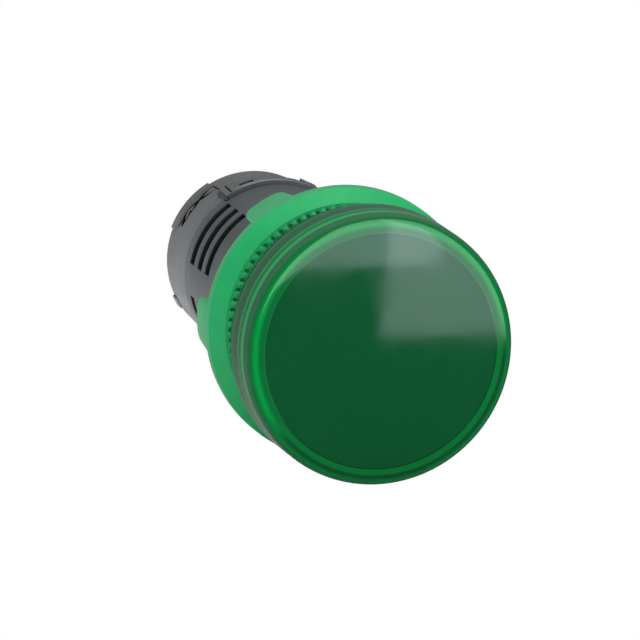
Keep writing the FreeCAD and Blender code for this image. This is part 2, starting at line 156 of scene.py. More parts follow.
def spinRound(piece, steps, turned=0):
    # the outline turned into a full ring about the Y axis
    editAll(piece)
    bpy.ops.mesh.spin(steps=steps, angle=math.tau, center=centreLine, axis=(0, 1, 0))
    bpy.ops.mesh.select_all(action="SELECT")
    bpy.ops.mesh.remove_doubles(threshold=weld)
    if turned:
        turnBy(turned, "Y")
    leaveEdit()
    faceOutwards(piece)


def roundEdges(piece, shape):
    pick(piece)
    bevel = piece.modifiers.new("edges", "BEVEL")
    bevel.width = shape["edge"] * mm
    bevel.segments = shape["edgeSegments"]
    bevel.limit_method = "ANGLE"
    bevel.angle_limit = math.radians(shape["edgeAngle"])
    bevel.use_clamp_overlap = True
    bpy.ops.object.modifier_apply(modifier=bevel.name)


def smoothPiece(piece, angle):
    pick(piece)
    bpy.ops.object.shade_smooth_by_angle(angle=math.radians(angle))


def finishPiece(piece, body, node, material):
    piece.data.materials.clear()
    piece.data.materials.append(material)
    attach(piece, body)
    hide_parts(node)
    print("piece", piece.name, len(piece.data.polygons))


# Shader helpers

class Link:
    # a socket in an expression, which adds its own Math nodes
    def __init__(self, nodes, socket):
        self.nodes = nodes
        self.socket = socket

    def __add__(self, other):
        return self.nodes.maths("ADD", self, other)

    def __sub__(self, other):
        return self.nodes.maths("SUBTRACT", self, other)

    def __rsub__(self, other):
        return self.nodes.maths("SUBTRACT", other, self)

    def __mul__(self, other):
        return self.nodes.maths("MULTIPLY", self, other)

    def __truediv__(self, other):
        return self.nodes.maths("DIVIDE", self, other)

    def __rtruediv__(self, other):
        return self.nodes.maths("DIVIDE", other, self)

    def __pow__(self, other):
        return self.nodes.maths("POWER", self, other)

    def __rpow__(self, other):
        return self.nodes.maths("POWER", other, self)

    __radd__ = __add__
    __rmul__ = __mul__


class Nodes:
    # the node tree of a material or of the world
    def __init__(self, tree):
        self.tree = tree

    def node(self, kind, settings=None, inputs=None, output=0):
        made = self.tree.nodes.new(kind)
        for key, value in (settings or {}).items():
            if key == "stops":
                ramp = made.color_ramp
                while len(ramp.elements) < len(value):
                    ramp.elements.new(0.5)
                for element, (position, colour) in zip(ramp.elements, value):
                    element.position = position
                    element.color = colour
            else:
                setattr(made, key, value)
        for key, value in (inputs or {}).items():
            self.feed(made.inputs[key], value)
        return Link(self, made.outputs[output])

    def feed(self, socket, value):
        if isinstance(value, Link):
            self.tree.links.new(value.socket, socket)
        else:
            socket.default_value = value

    def maths(self, operation, first, second):
        return self.node("ShaderNodeMath", {"operation": operation}, {0: first, 1: second})

    def linear(self, value, low, high):
        return self.node("ShaderNodeMapRange", None, {"Value": value, 1: low, 2: high, 3: 0.0, 4: 1.0})

    def seenBy(self, ray):
        # 1 where the ray is of the named kind, such as Is Camera Ray
        return self.node("ShaderNodeLightPath", output=ray)

    def blend(self, factor, first, second):
        return self.node("ShaderNodeMixShader", None, {0: factor, 1: first, 2: second})

    def showOn(self, outputNode, shader):
        self.feed(self.tree.nodes[outputNode].inputs["Surface"], shader)


lookSet = {"coatRoughness": 0.06, "ior": 1.5}


class Look(Nodes):
    # a material, with its patterns laid by the object's own coordinates
    def __init__(self, name, colour, roughness, metallic=0.0, coat=0.0):
        self.material = bpy.data.materials.new(name)
        self.material.use_nodes = True
        super().__init__(self.material.node_tree)
        self.shader = self.tree.nodes["Principled BSDF"]
        self.set("Base Color", tint(colour))
        self.set("Roughness", roughness)
        self.set("Metallic", metallic)
        self.set("Coat Weight", coat)
        self.set("Coat Roughness", lookSet["coatRoughness"])
        self.set("IOR", lookSet["ior"])
        self.place = self.node("ShaderNodeTexCoord", output="Object")

    def set(self, name, value):
        self.feed(self.shader.inputs[name], value)

    def noise(self, scale, detail, stretch=(1, 1, 1)):
        place = self.place
        if stretch != (1, 1, 1):
            place = self.node("ShaderNodeMapping", None, {"Vector": place, "Scale": stretch})
        return self.node("ShaderNodeTexNoise", None, {"Vector": place, "Scale": scale, "Detail": detail})

    def between(self, value, low, high, toLow=0.0, toHigh=1.0):
        settings = {"interpolation_type": "SMOOTHSTEP"}
        sockets = {"Value": value, 1: low, 2: high, 3: toLow, 4: toHigh}
        return self.node("ShaderNodeMapRange", settings, sockets)

    def past(self, value, start, fade):
        # fade says how far past start the rise from 0 to 1 begins and ends
        return self.between(value, start + fade[0], start + fade[1])

    def mix(self, factor, first, second):
        return self.node("ShaderNodeMix", {"data_type": "RGBA"}, {0: factor, 6: first, 7: second}, 2)

    def along(self, axis):
        # the place along X, Y or Z in millimetres
        return self.node("ShaderNodeSeparateXYZ", None, {0: self.place}, axis) / mm

    def radius(self):
        # the distance from the part's axis in millimetres
        x, z = self.along("X"), self.along("Z")
        return (x * x + z * z) ** 0.5

    def bump(self, height, strength, distance):
        sockets = {"Strength": strength, "Distance": distance * mm, "Height": height}
        self.set("Normal", self.node("ShaderNodeBump", None, sockets))


def tint(rgb):
    # 0 to 255 screen values to Blender's linear colour
    linear = []
    for value in rgb:
        c = value / 255
        linear.append(c / 12.92 if c <= 0.04045 else ((c + 0.055) / 1.055) ** 2.4)
    return (*linear, 1.0)


def shaded(rgb, amount):
    return tuple(min(255, max(0, value * amount)) for value in rgb)


# Plastic, rubber and board materials share one recipe, and plated metals another

plasticSet = {
    "cloudDetail": 3.0, "cloudEdges": (0.3, 0.7), "grainDetail": 2.0, "grainEdges": (0.25, 0.75),
    "smoother": 0.04, "rougher": 0.05,
}
metalSet = {
    "cloudDetail": 3.0, "cloudEdges": (0.3, 0.7), "darker": 0.86, "drawnDetail": 2.0,
    "drawnEdges": (0.3, 0.7), "smoother": 0.07, "rougher": 0.1, "bumpStrength": 0.35, "bumpDepth": 0.02,
}


def mouldedPlastic(name, settings, patches=()):
    # each patch is a function that gives a mask and the colour under it
    look = Look(name, settings["colour"], settings["roughness"], coat=settings.get("coat", 0.0))
    cloud = look.noise(settings["cloudScale"], plasticSet["cloudDetail"])
    darker = tint(shaded(settings["colour"], 1 - settings["variation"]))
    lighter = tint(shaded(settings["colour"], 1 + settings["variation"]))
    colour = look.mix(look.between(cloud, *plasticSet["cloudEdges"]), darker, lighter)
    for patch in patches:
        mask, patchColour = patch(look)
        colour = look.mix(mask, colour, tint(patchColour))
    look.set("Base Color", colour)
    grain = look.noise(settings["grainScale"], plasticSet["grainDetail"])
    smoothest = settings["roughness"] - plasticSet["smoother"]
    roughest = settings["roughness"] + plasticSet["rougher"]
    look.set("Roughness", look.between(grain, *plasticSet["grainEdges"], smoothest, roughest))
    look.bump(grain, settings["grainStrength"], settings["grainDepth"])
    return look.material


def platedMetal(name, settings):
    look = Look(name, settings["colour"], settings["roughness"], metallic=1.0)
    cloud = look.noise(settings["cloudScale"], metalSet["cloudDetail"])
    darker = tint(shaded(settings["colour"], metalSet["darker"]))
    colour = look.mix(look.between(cloud, *metalSet["cloudEdges"]), darker, tint(settings["colour"]))
    look.set("Base Color", colour)
    drawn = look.noise(settings["grainScale"], metalSet["drawnDetail"], settings["stretch"])
    smoothest = settings["roughness"] - metalSet["smoother"]
    roughest = settings["roughness"] + metalSet["rougher"]
    look.set("Roughness", look.between(drawn, *metalSet["drawnEdges"], smoothest, roughest))
    look.bump(drawn, metalSet["bumpStrength"], metalSet["bumpDepth"])
    return look.material


# Seals, lamps, boards and terminal metal keep their CAD mesh

plasticFinishes = {
    "gasket_rubber": {"colour": (46, 48, 48), "roughness": 0.75, "variation": 0.1, "cloudScale": 400.0,
                      "grainScale": 6500.0, "grainStrength": 0.4, "grainDepth": 0.02},
    "reflector_white": {"colour": (236, 236, 233), "roughness": 0.2, "variation": 0.02, "cloudScale": 150.0,
                        "grainScale": 3000.0, "grainStrength": 0.1, "grainDepth": 0.01, "coat": 0.3},
    "diffuser_white": {"colour": (231, 233, 228), "roughness": 0.35, "variation": 0.02, "cloudScale": 200.0,
                       "grainScale": 6000.0, "grainStrength": 0.3, "grainDepth": 0.01},
    "package_black": {"colour": (28, 28, 30), "roughness": 0.5, "variation": 0.12, "cloudScale": 500.0,
                      "grainScale": 9000.0, "grainStrength": 0.3, "grainDepth": 0.01},
    "can_black": {"colour": (22, 24, 30), "roughness": 0.3, "variation": 0.1, "cloudScale": 300.0,
                  "grainScale": 5000.0, "grainStrength": 0.15, "grainDepth": 0.01, "coat": 0.3},
    "coating_blue": {"colour": (30, 74, 150), "roughness": 0.32, "variation": 0.1, "cloudScale": 700.0,
                     "grainScale": 2200.0, "grainStrength": 0.3, "grainDepth": 0.03, "coat": 0.4},
    "resistor_beige": {"colour": (196, 172, 128), "roughness": 0.4, "variation": 0.08, "cloudScale": 600.0,
                       "grainScale": 4000.0, "grainStrength": 0.25, "grainDepth": 0.01},
    "lamp_white": {"colour": (240, 236, 205), "roughness": 0.3, "variation": 0.05, "cloudScale": 900.0,
                   "grainScale": 8000.0, "grainStrength": 0.2, "grainDepth": 0.01, "coat": 0.2},
    "board_green": {"colour": (22, 84, 48), "roughness": 0.35, "variation": 0.12, "cloudScale": 350.0,
                    "grainScale": 3500.0, "grainStrength": 0.3, "grainDepth": 0.01, "coat": 0.5},
}
metalFinishes = {
    "screw_zinc": {"colour": (196, 198, 200), "roughness": 0.3, "cloudScale": 500.0, "grainScale": 3000.0,
                   "stretch": (1, 1, 5)},
    "strip_tinned": {"colour": (206, 206, 200), "roughness": 0.34, "cloudScale": 400.0,
                     "grainScale": 2500.0, "stretch": (4, 1, 1)},
    "pin_brass": {"colour": (212, 176, 98), "roughness": 0.28, "cloudScale": 500.0, "grainScale": 2500.0,
                  "stretch": (1, 6, 1)},
}
carriedSmoothAngle = 30
carried = {
    "gasket_rubber": ["lens_seal_ring", "panel_gasket"],
    "diffuser_white": ["light_diffuser"],
    "reflector_white": ["reflector_cup"],
    "board_green": ["led_board", "power_board"],
    "lamp_white": ["led_%d" % number for number in range(1, 7)],
    "pin_brass": ["link_pin_1", "link_pin_2"],
    "package_black": ["bridge_rectifier"],
    "coating_blue": ["surge_varistor"],
    "can_black": ["smoothing_capacitor"],
    "resistor_beige": ["dropping_resistor_1", "dropping_resistor_2"],
    "strip_tinned": ["terminal_strip_x1", "terminal_strip_x2"],
    "screw_zinc": ["clamp_washer_x1", "clamp_washer_x2", "terminal_screw_x1", "terminal_screw_x2"],
}


def finishCarried():
    for slot, nodes in carried.items():
        if slot in metalFinishes:
            material = platedMetal(slot, metalFinishes[slot])
        else:
            material = mouldedPlastic(slot, plasticFinishes[slot])
        for node in nodes:
            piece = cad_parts[node]
            piece.data.materials.clear()
            piece.data.materials.append(material)
            smoothPiece(piece, carriedSmoothAngle)
        print("finished", slot, len(nodes))


finishCarried()


# Lens cap: one smooth dome with a rounded shoulder and a plain skirt

lensShape = {
    # the dome stands domeRise further forward in the middle than at discRadius
    "radius": 14.5, "rim": -6.8, "skirtEnd": -0.8, "wall": 1.35, "inner": -6.0,
    "discRadius": 12.66, "discFront": -7.48, "domeRise": 0.45, "domePoints": 16,
    "rimRound": 1.04, "roundPoints": 14, "support": 0.2, "steps": 240,
    "edge": 0.1, "edgeAngle": 40, "edgeSegments": 3, "smoothAngle": 30,
}
lensFinish = {
    "roughness": 0.07, "rippleScale": 240.0, "rippleDetail": 1.0, "rippleEdges": (0.2, 0.8), "ripple": 0.02,
    # colour by radius on the front: glow is a painted glow of light through the shoulder on its lit side, and
    # shade is the painted shade on the other side
    "glow": [(12.5, (11, 96, 52)), (12.6, (24, 138, 74)), (12.76, (8, 120, 58)), (13.06, (8, 126, 61)),
             (13.24, (6, 146, 68)), (13.42, (2, 174, 78)), (13.68, (2, 172, 77)), (13.86, (4, 148, 66)),
             (14.12, (18, 120, 64)), (14.36, (60, 112, 80))],
    "shade": [(12.52, (11, 96, 52)), (12.6, (10, 62, 34)), (12.74, (7, 134, 62)), (13.22, (7, 132, 61)),
              (13.4, (16, 92, 49)), (13.62, (16, 92, 50)), (13.84, (13, 124, 62)), (14.05, (11, 138, 67)),
              (14.22, (18, 108, 56)), (14.42, (34, 104, 68))],
    "frontInside": 0.5, "shadeFrom": 290, "shadeEdges": (0.05, 0.45), "middle": 0.1,
    "sideFade": (-0.06, -0.01),
    # colour along the skirt, by distance behind the rim: the bright lines are painted glow of light carried
    # through the clear wall, the lighter grey next to the rim is a painted highlight, the grey-green between
    # is the dark flange seen through, and the dark end is the gasket's edge seen through
    "skirt": [(0.0, (56, 100, 76)), (0.5, (48, 100, 70)), (0.95, (28, 142, 80)), (1.3, (24, 170, 92)),
              (1.65, (26, 162, 88)), (2.05, (32, 112, 68)), (2.45, (33, 104, 66)), (2.75, (30, 140, 80)),
              (3.05, (30, 142, 80)), (3.4, (38, 97, 67)), (3.8, (38, 94, 66)), (4.9, (38, 94, 66)),
              (5.3, (30, 118, 70)), (5.6, (30, 122, 72)), (5.78, (38, 94, 66)), (5.86, (40, 38, 44)),
              (6.0, (40, 38, 44))],
}


def lensGreen(settings, shape):
    # the dark middle is the lens's own colour; the bright shoulder and the skirt's bright lines are painted
    # glow of light carried through the clear wall, with painted shade on the far side of the shoulder
    look = Look("lens_green", settings["skirt"][0][1], settings["roughness"])
    radius = look.radius()

    def bands(value, stops, first, last):
        places = [((at - first) / (last - first), tint(colour)) for at, colour in stops]
        return look.node("ShaderNodeValToRGB", {"stops": places}, {0: look.linear(value, first, last)})

    inner = shape["discRadius"] - settings["frontInside"]
    glow = bands(radius, settings["glow"], inner, shape["radius"])
    shade = bands(radius, settings["shade"], inner, shape["radius"])
    turn = math.radians(settings["shadeFrom"])
    # 1 on the side where the shade lies and -1 opposite, with middle to keep the axis from dividing by zero
    across = look.along("X") * math.cos(turn) + look.along("Z") * math.sin(turn)
    towards = across / (radius + settings["middle"])
    front = look.mix(look.between(towards, *settings["shadeEdges"]), glow, shade)
    length = shape["skirtEnd"] - shape["rim"]
    # the skirt's painted glow lines and painted highlight, with the flange and gasket seen through
    side = bands(look.along("Y") - shape["rim"], settings["skirt"], 0.0, length)
    look.set("Base Color", look.mix(look.past(radius, shape["radius"], settings["sideFade"]), front, side))
    ripple = look.noise(settings["rippleScale"], settings["rippleDetail"])
    smoothest = settings["roughness"] - settings["ripple"]
    roughest = settings["roughness"] + settings["ripple"]
    look.set("Roughness", look.between(ripple, *settings["rippleEdges"], smoothest, roughest))
    return look.material


def buildLensCap(shape):
    reach = shape["rimRound"]
    shoulder = shape["radius"] - reach
    flatness = shape["domeRise"] / shape["discRadius"] ** 2
    crown = shape["discFront"] - shape["domeRise"]
    tilt = math.atan(2 * flatness * shoulder)
    edge = shoulder + reach * math.sin(tilt)
    points = []
    for index in range(shape["domePoints"] + 1):
        radius = edge * index / shape["domePoints"]
        points.append((radius, crown + flatness * radius * radius))
    middle = points[-1][1] + reach * math.cos(tilt)
    for index in range(1, shape["roundPoints"] + 1):
        turn = tilt + (math.pi / 2 - tilt) * index / shape["roundPoints"]
        points.append((shoulder + reach * math.sin(turn), middle - reach * math.cos(turn)))
    # the row just before the rear edge keeps the long skirt's shading straight
    points.append((shape["radius"], shape["skirtEnd"] - shape["support"]))
    points.append((shape["radius"], shape["skirtEnd"]))
    points.append((shape["radius"] - shape["wall"], shape["skirtEnd"]))
    points.append((shape["radius"] - shape["wall"], shape["inner"]))
    points.append((0, shape["inner"]))
    lens = drawProfile("lens_cap_shell", points)
    spinRound(lens, shape["steps"])
    roundEdges(lens, shape)
    smoothPiece(lens, shape["smoothAngle"])
    finishPiece(lens, "housing", "lens_cap", lensGreen(lensFinish, shape))


buildLensCap(lensShape)


# Fixing nut: toothed face, flared rim, hub and six lugs

nutShape = {
    "bore": 10.91, "lead": 0.35, "front": 6.3, "pocketInner": 12.3, "pocketOuter": 12.85,
    "pocketDepth": 0.4, "columnsPerTooth": 5, "pocketColumns": (3, 4), "padHeight": 0.05, "padInset": 0.06,
    "flareInner": 13.25, "rim": 7.75, "outer": 14.7, "back": 9.2, "hubRadius": 12.4, "hubEnd": 11.5,
    "lugs": 6, "lugInner": 13.0, "lugTipRadius": 14.2, "lugLength": 5.5, "lugCorner": 1.4,
    "lugHalfSteps": 10, "steps": 360,
    "edge": 0.07, "edgeAngle": 60, "edgeSegments": 3, "smoothAngle": 34,
}
nutFinish = {
    "colour": (36, 198, 116), "roughness": 0.38, "variation": 0.02, "cloudScale": 220.0,
    "grainScale": 4200.0, "grainStrength": 0.2, "grainDepth": 0.012,
    # teeth is painted light on the toothed ring, which the lens skirt shades
    "teeth": (50, 214, 130), "teethRadius": 13.3, "teethFade": (-0.1, 0.0),
    # outside is a painted sheen on the rim and lugs
    "outside": (66, 170, 112), "outsideFront": 7.74, "outsideFade": (-0.04, 0.04),
}


def teethPaintedLight(look):
    # painted light: the toothed ring is made lighter to undo the shade that the lens skirt casts on it
    return 1 - look.past(look.radius(), nutFinish["teethRadius"], nutFinish["teethFade"]), nutFinish["teeth"]


def outsidePaintedSheen(look):
    # painted sheen: the rim and lugs are greyer than the flared face, standing in for the light they reflect
    mask = look.past(look.along("Y"), nutFinish["outsideFront"], nutFinish["outsideFade"])
    return mask, nutFinish["outside"]


def nutRing(shape):
    inner, lead, front = shape["bore"] + shape["lead"], shape["lead"], shape["front"]
    points = [(inner, front), (shape["pocketInner"], front), (shape["pocketOuter"], front),
              (shape["flareInner"], front), (shape["outer"], shape["rim"]), (shape["outer"], shape["back"]),
              (shape["lugInner"], shape["back"]), (shape["hubRadius"], shape["back"]),
              (shape["hubRadius"], shape["hubEnd"]), (inner, shape["hubEnd"]),
              (shape["bore"], shape["hubEnd"] - lead), (shape["bore"], front + lead), (inner, front)]
    nut = drawProfile("fixing_nut_ring", points)
    spinRound(nut, shape["steps"])
    return nut


def cutTeeth(nut, shape):
    # small pockets round the face, and low pads between them
    stepAngle = 360 / shape["steps"]

    def onToothRing(centre):
        return isAt(centre, shape["front"]) and shape["pocketInner"] < radiusOf(centre) < shape["pocketOuter"]

    def inPocket(centre, normal):
        column = int(angleOf(centre) / stepAngle) % shape["columnsPerTooth"]
        return onToothRing(centre) and column in shape["pocketColumns"]

    selectWhere(nut, "FACE", inPocket)
    extrudeBy((0, shape["pocketDepth"] * mm, 0))
    leaveEdit()
    selectWhere(nut, "FACE", lambda centre, normal: onToothRing(centre) and not inPocket(centre, normal))
    bpy.ops.mesh.inset(thickness=shape["padInset"] * mm, depth=shape["padHeight"] * mm)
    leaveEdit()


def raiseLugs(nut, shape):
    stepAngle = 360 / shape["steps"]
    spacing = 360 / shape["lugs"]
    half = shape["lugHalfSteps"] * stepAngle

    def lugOffset(point):
        return (angleOf(point) + spacing / 2) % spacing - spacing / 2

    def onLug(centre, normal):
        flat = isAt(centre, shape["back"]) and radiusOf(centre) > shape["lugInner"]
        return flat and abs(lugOffset(centre)) < half

    selectWhere(nut, "FACE", onLug)
    extrudeBy((0, shape["lugLength"] * mm, 0))
    leaveEdit()
    # the corners of each tip are rounded, one row of points at a time
    tip = shape["back"] + shape["lugLength"]
    halfWidth = math.radians(half) * shape["outer"]
    for index in range(shape["lugHalfSteps"] + 1):
        across = math.radians(index * stepAngle) * shape["outer"] - (halfWidth - shape["lugCorner"])
        if across <= 0:
            continue
        drop = shape["lugCorner"] - math.sqrt(max(0, shape["lugCorner"] ** 2 - across ** 2))
        at = index * stepAngle
        selectWhere(nut, "VERT", lambda p: isAt(p, tip) and abs(abs(lugOffset(p)) - at) < nearAngle)
        moveBy((0, -drop * mm, 0))
        leaveEdit()
    # the lug's outer face leans in towards its tip
    low = tip - shape["lugCorner"] - near
    selectWhere(nut, "VERT", lambda p: p.y > low and radiusOf(p) > shape["outer"] - near)
    spreadBy(shape["lugTipRadius"] / shape["outer"])
    leaveEdit()


def buildFixingNut(shape):
    nut = nutRing(shape)
    cutTeeth(nut, shape)
    raiseLugs(nut, shape)
    roundEdges(nut, shape)
    smoothPiece(nut, shape["smoothAngle"])
    material = mouldedPlastic("nut_green", nutFinish, (teethPaintedLight, outsidePaintedSheen))
    finishPiece(nut, "nut", "fixing_nut", material)


buildFixingNut(nutShape)


# Head and barrel in one moulding: drum, collar, thread, vent slots

barrelShape = {
    # the head, collar and threaded part as radius and y, from the lamp chamber round the outside
    "profile": [(9.6, -4.3), (12.35, -4.3), (12.35, -5.2), (13.05, -5.2), (13.05, -3.9), (13.3, -3.8),
                (13.3, -3.6), (13.05, -3.5), (13.05, -2.6), (12.09, -2.6), (12.09, -1.4), (13.05, -1.4),
                (13.05, -0.8), (10.55, -0.8), (10.55, 0), (11.0, 0), (11.0, 1.0), (10.5, 1.0),
                (10.5, 15.5), (9.86, 16.2)],
    "outer": 9.86, "inner": 8.7, "end": 37.1, "boardSeat": 5.1, "chamber": 9.6,
    "slotCentres": [28.2, 31.37, 34.54], "slotWidth": 1.7, "slotStart": 10.5, "slotEnd": 56.5,
    "notchFront": 36.1, "notchHalf": 33, "steps": 360,
    "edge": 0.1, "edgeAngle": 40, "edgeSegments": 2, "smoothAngle": 34,
}
threadShape = {
    "root": 10.45, "crest": 10.85, "pitch": 1.5, "start": 2.0, "turns": 8, "base": 1.2, "flat": 0.2,
    "steps": 120,
}
barrelFinish = {
    "colour": (80, 84, 86), "roughness": 0.42, "variation": 0.05, "cloudScale": 160.0,
    "grainScale": 5200.0, "grainStrength": 0.25, "grainDepth": 0.012,
    "bore": (26, 28, 30), "boreRadius": 9.82, "boreFade": (-0.1, 0.0),
}


def barrelBore(look):
    # the bore and the cut edges of the slots get little light
    mask = 1 - look.past(look.radius(), barrelFinish["boreRadius"], barrelFinish["boreFade"])
    return mask, barrelFinish["bore"]


def buildThread(shape):
    half = shape["base"] / 2
    points = [(shape["root"], shape["start"] - half), (shape["crest"], shape["start"] - shape["flat"] / 2),
              (shape["crest"], shape["start"] + shape["flat"] / 2), (shape["root"], shape["start"] + half),
              (shape["root"], shape["start"] - half)]
    ridge = drawProfile("thread_ridge", points)
    editAll(ridge)
    bpy.ops.mesh.remove_doubles(threshold=weld)
    leaveEdit()
    screw = ridge.modifiers.new("turns", "SCREW")
    screw.axis = "Y"
    screw.screw_offset = shape["pitch"] * mm
    screw.iterations = shape["turns"]
    screw.steps = shape["steps"]
    screw.render_steps = shape["steps"]
    pick(ridge)
    bpy.ops.object.modifier_apply(modifier=screw.name)
    # both ends of the helix are closed
    editMesh(ridge)
    bpy.ops.mesh.select_all(action="DESELECT")
    bpy.ops.mesh.select_non_manifold()
    bpy.ops.mesh.edge_face_add()
    leaveEdit()
    faceOutwards(ridge)
    return ridge


def barrelTube(shape):
    wall = []
    for centre in shape["slotCentres"]:
        wall += [centre - shape["slotWidth"] / 2, centre + shape["slotWidth"] / 2]
    wall.append(shape["notchFront"])
    points = list(shape["profile"])
    points += [(shape["outer"], y) for y in wall]
    points += [(shape["outer"], shape["end"]), (shape["inner"], shape["end"])]
    points += [(shape["inner"], y) for y in reversed(wall)]
    points += [(shape["inner"], shape["boardSeat"]), (shape["chamber"], shape["boardSeat"]), points[0]]
    barrel = drawProfile("head_barrel_shell", points)
    spinRound(barrel, shape["steps"], 180 / shape["steps"])
    return barrel


def cutWindows(barrel, shape):
    # a window is its middle angle, half its angle, its middle y and half its width
    windows = []
    slotHalf = shape["slotWidth"] / 2 + near
    half = (shape["slotEnd"] - shape["slotStart"]) / 2 + nearAngle
    middle = (shape["slotStart"] + shape["slotEnd"]) / 2
    for turn in (middle, -middle, 180 + middle, 180 - middle):
        windows += [(turn, half, centre, slotHalf) for centre in shape["slotCentres"]]
    notchMiddle = (shape["notchFront"] + shape["end"]) / 2
    windows.append((90, shape["notchHalf"] + nearAngle, notchMiddle, shape["end"] - notchMiddle + near))

    def inWindow(point, window):
        turn, wide, centre, reach = window
        around = abs((angleOf(point) - turn + 180) % 360 - 180)
        return around < wide and abs(point.y - centre) < reach

    def onRim(a, b, window):
        return inWindow(a, window) and inWindow(b, window) and abs(radiusOf(a) - radiusOf(b)) < near

    selectWhere(barrel, "FACE", lambda centre, normal: any(inWindow(centre, window) for window in windows))
    bpy.ops.mesh.delete(type="FACE")
    leaveEdit()
    # each window's outer and inner rims are joined by walls
    for window in windows:
        selectWhere(barrel, "EDGE", lambda a, b: onRim(a, b, window))
        bpy.ops.mesh.bridge_edge_loops()
        leaveEdit()
    faceOutwards(barrel)


def buildBarrel(shape):
    barrel = barrelTube(shape)
    cutWindows(barrel, shape)
    roundEdges(barrel, shape)
    ridge = buildThread(threadShape)
    pick(barrel)
    ridge.select_set(True)
    bpy.ops.object.join()
    smoothPiece(barrel, shape["smoothAngle"])
    material = mouldedPlastic("barrel_grey", barrelFinish, (barrelBore,))
    finishPiece(barrel, "housing", "head_barrel", material)


buildBarrel(barrelShape)


# Terminal block: cone with a raised arch, snap catches, seams, lips, two wells and cut marks

blockShape = {
    # stations are the rows of corners along the cone, by y
    "front": 37.1, "back": 46.5, "frontRadius": 9.86, "backRadius": 9.47,
    "hollowRadius": 8.56, "hollowEnd": 38.0, "stations": [37.3, 38.3, 42.6, 44.75, 46.3],
    "archFront": 36.15, "archRadius": 10.3, "archFlat": 38.3, "archEnd": 42.6, "archHalf": 31, "archFoot": 32,
    "seamRows": (37.3, 38.3), "seamColumns": (11, 20), "seamDepth": 0.5,
    "sideSlitAt": 29.3, "sideSlitRows": (41.3, 44.75), "sideSlitHalf": 0.08, "sideSlitFloor": 9.0,
    "lipRows": (44.75, 46.3), "lipColumns": [(30, 68), (114, 122)], "lipRadius": 9.75,
    "wellX": (1.0, 7.4), "wellFloor": 39.8, "wellBottom": -12, "wellTop": 4.0,
    "screwX": 4.25, "screwHole": 1.75, "screwHoleDepth": 6, "screwHoleSides": 64,
    "tailX": (5.5, 7.1), "tailZ": (-2.7, -1.7), "past": 1.0, "steps": 360,
    "edge": 0.07, "edgeAngle": 38, "edgeSegments": 2, "smoothAngle": 30,
}
catchShape = {
    # corners as radius and degrees off the top
    "front": [(9.36, 21), (10.3, 21), (10.3, 31.3), (9.86, 32.3), (9.36, 32.3)],
    "back": [(9.27, 21), (10.47, 21), (10.47, 30.6), (9.77, 35), (9.27, 35)],
    "frontY": 36.15, "backY": 39.3, "slitAt": 27, "slitHalf": 0.1, "slitFloor": 9.87, "slitFront": 36.45,
}
markShape = {
    "font": 2.1, "deep": 0.5, "bold": 0.15, "y": 43.8, "radius": 9.61, "widen": 1.95, "weld": 0.0005,
    "places": [("X", 132.9), ("2", 148.0), ("X", 33.0), ("1", 48.0)],
}
blockFinish = {
    "colour": (97, 98, 99), "roughness": 0.45, "variation": 0.05, "cloudScale": 160.0,
    "grainScale": 5200.0, "grainStrength": 0.25, "grainDepth": 0.012,
    # recess and archFace are painted shade, and ledge is a painted highlight
    "recess": (20, 22, 23), "archFace": (56, 63, 66), "ledge": (124, 125, 126),
}
blockFades = {
    "recessDepth": (0.03, 0.07), "overWells": (0.1, 0.2), "backFace": (-0.3, -0.2),
    "seamFront": (-0.04, 0.0), "seamBack": (0.0, 0.04), "seamSurface": (-0.08, -0.05), "seamZ": (8.9, 9.0),
    "archFace": (0.03, 0.09), "upperZ": (5.0, 5.2),
    "ledgeFront": (0.05, 0.12), "ledgeBack": (0.6, 1.1), "ledgeSurface": (-0.12, -0.06),
    "ledgeZ": (9.2, 10.0), "catchSurface": (-0.02, 0.04), "catchSidePaintedShade": (-0.05, 0.05),
}


def coneRadius(y):
    # the outside of the block, where y is a number or a socket
    front, back = blockShape["front"], blockShape["back"]
    slope = (blockShape["backRadius"] - blockShape["frontRadius"]) / (back - front)
    return blockShape["frontRadius"] + slope * (y - front)


def recessPaintedShade(look):
    # painted shade: letters, slits and seams in the upper half are darkened where they lie below the surface
    y, z, radius = look.along("Y"), look.along("Z"), look.radius()
    first, last = blockShape["seamRows"]
    cut = look.between(coneRadius(y) - radius, *blockFades["recessDepth"])
    cut = cut * look.past(z, blockShape["wellTop"], blockFades["overWells"])
    cut = cut * (1 - look.past(y, blockShape["back"], blockFades["backFace"]))
    seam = look.past(y, first, blockFades["seamFront"]) * (1 - look.past(y, last, blockFades["seamBack"]))
    seam = seam * (1 - look.past(radius, blockShape["archRadius"], blockFades["seamSurface"]))
    seam = seam * look.between(z, *blockFades["seamZ"])
    return look.maths("MAXIMUM", cut, seam), blockFinish["recess"]


def archFront(look):
    # the arch's front face looks into the dim side of the room
    face = 1 - look.past(look.along("Y"), blockShape["archFront"], blockFades["archFace"])
    return face * look.between(look.along("Z"), *blockFades["upperZ"]), blockFinish["archFace"]


def ledgePaintedHighlight(look):
    # a painted highlight along the arch's front edge
    y, front = look.along("Y"), blockShape["archFront"]
    ledge = look.past(y, front, blockFades["ledgeFront"]) * (1 - look.past(y, front, blockFades["ledgeBack"]))
    ledge = ledge * look.past(look.radius(), blockShape["archRadius"], blockFades["ledgeSurface"])
    return ledge * look.between(look.along("Z"), *blockFades["ledgeZ"]), blockFinish["ledge"]


def catchSidePaintedShade(look):
    # painted shade on the slanted outer sides of the snap catches
    z = look.along("Z")
    aside = look.maths("ABSOLUTE", look.along("X"), 0) - z * math.tan(math.radians(blockShape["archHalf"]))
    outside = look.past(look.radius(), blockShape["frontRadius"], blockFades["catchSurface"])
    mask = outside * look.between(aside, *blockFades["catchSidePaintedShade"]) * look.between(z, *blockFades["upperZ"])
    return mask, blockFinish["archFace"]


